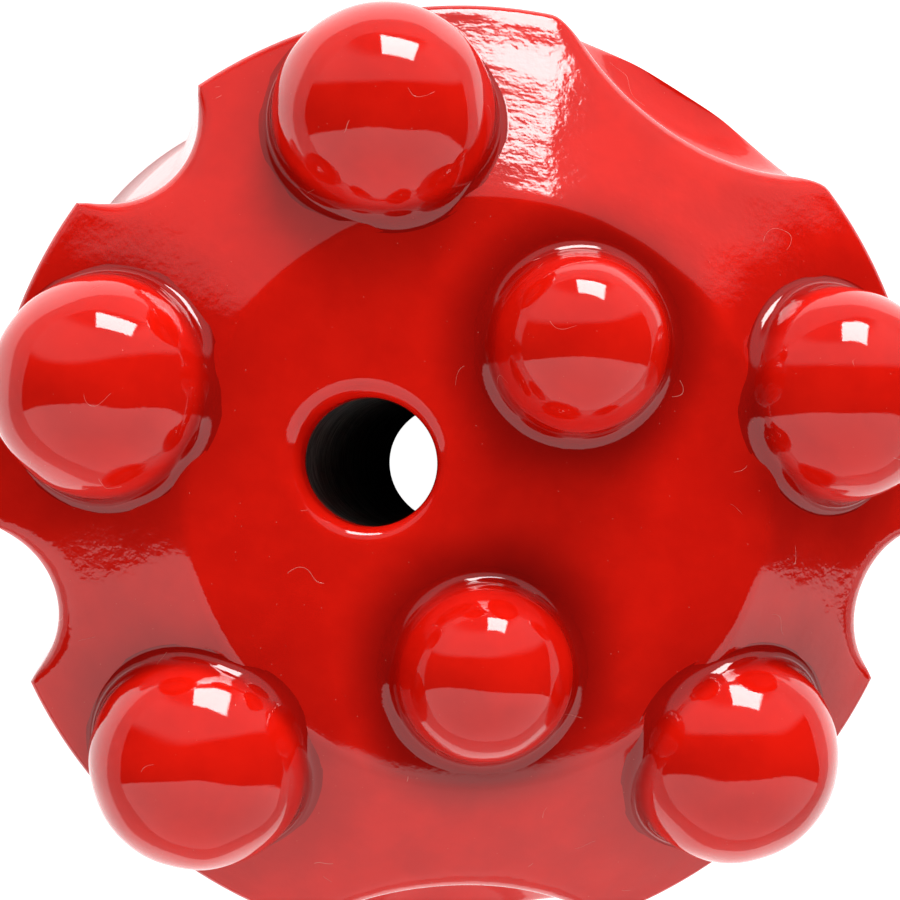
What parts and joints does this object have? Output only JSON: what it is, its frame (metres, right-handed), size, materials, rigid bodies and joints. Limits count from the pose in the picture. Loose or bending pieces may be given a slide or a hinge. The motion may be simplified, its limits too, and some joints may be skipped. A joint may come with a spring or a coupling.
{
  "type": "button drill bit",
  "caption": "Rock drill bit with a flat face, leaning gauge buttons, face buttons, flutes, an off-centre flushing hole and a rope-threaded socket, painted red.",
  "frame": {"origin": "centre of the rear face, on the bit's axis, where the drill rod enters", "axes": "+Z along the bit's axis towards the rock; the flushing hole opens in the face towards -X, with a gauge button behind it; +Y is across the mirror plane"},
  "size_m": [0.0439, 0.044, 0.0743],
  "materials": {
    "painted_steel": "thick gloss red enamel, bare dark steel in the flushing hole and the socket",
    "painted_carbide": "gloss red enamel over polished tungsten carbide"
  },
  "bodies": {
    "root": {"bit_body": "painted_steel", "gauge_button_1": "painted_carbide", "gauge_button_2": "painted_carbide", "gauge_button_3": "painted_carbide", "gauge_button_4": "painted_carbide", "gauge_button_5": "painted_carbide", "face_button_1": "painted_carbide", "face_button_2": "painted_carbide"}
  },
  "joints": []
}
